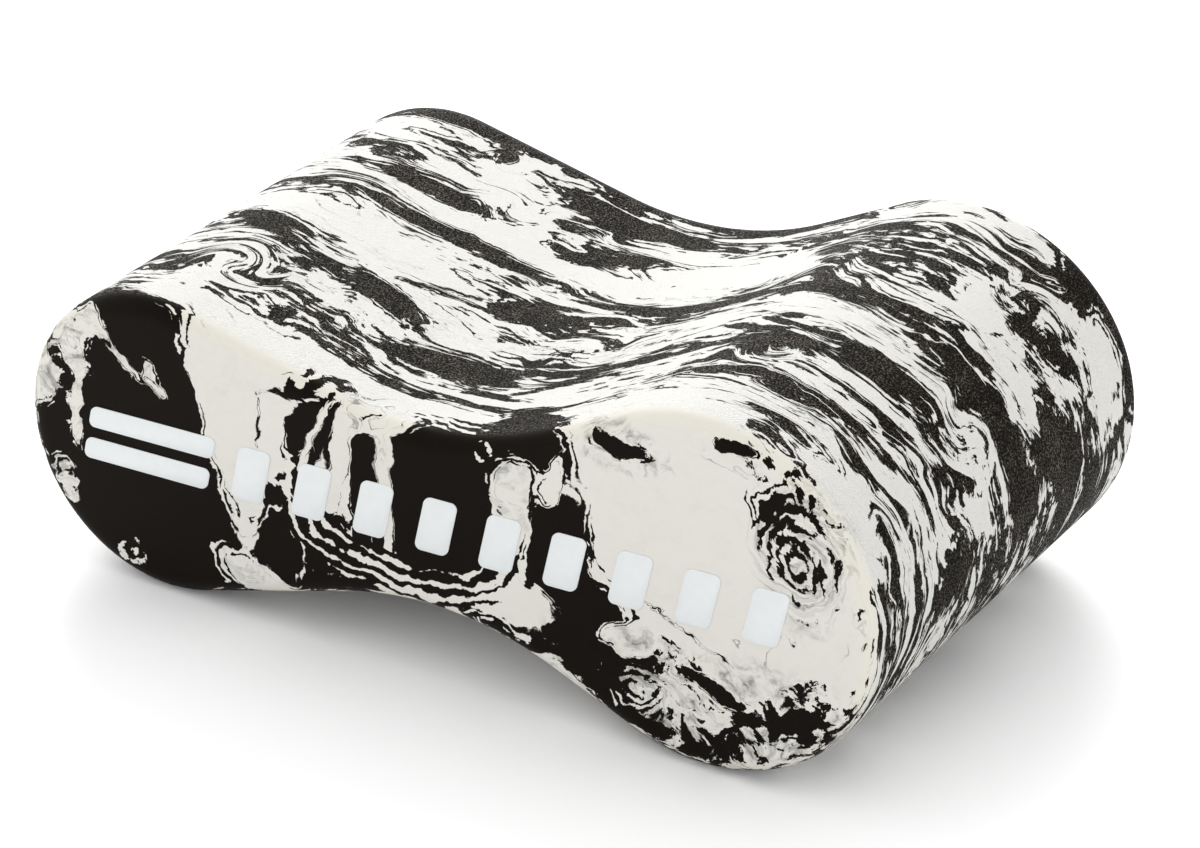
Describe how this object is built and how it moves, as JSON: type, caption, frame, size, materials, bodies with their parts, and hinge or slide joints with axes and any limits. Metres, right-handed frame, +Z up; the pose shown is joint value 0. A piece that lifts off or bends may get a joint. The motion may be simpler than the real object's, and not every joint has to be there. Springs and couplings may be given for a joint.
{
  "type": "pull buoy",
  "caption": "Figure-eight foam swimming float with two round lobes, a narrow waist for the thighs and a printed row of marks on one end.",
  "frame": {"origin": "on the floor, under the middle of the block's length and width, as it lies on both lobes", "axes": "+X along the length from the small lobe to the large one, +Y across the width from the printed end face to the plain one, +Z up"},
  "size_m": [0.24, 0.1362, 0.092],
  "materials": {
    "foam": "matte",
    "print": "satin"
  },
  "bodies": {
    "root": {"foam_block": "foam", "print_bar_1": "print", "print_bar_2": "print", "print_block_1": "print", "print_block_2": "print", "print_block_3": "print", "print_block_4": "print", "print_block_5": "print", "print_block_6": "print", "print_block_7": "print", "print_block_8": "print", "print_block_9": "print"}
  },
  "joints": []
}
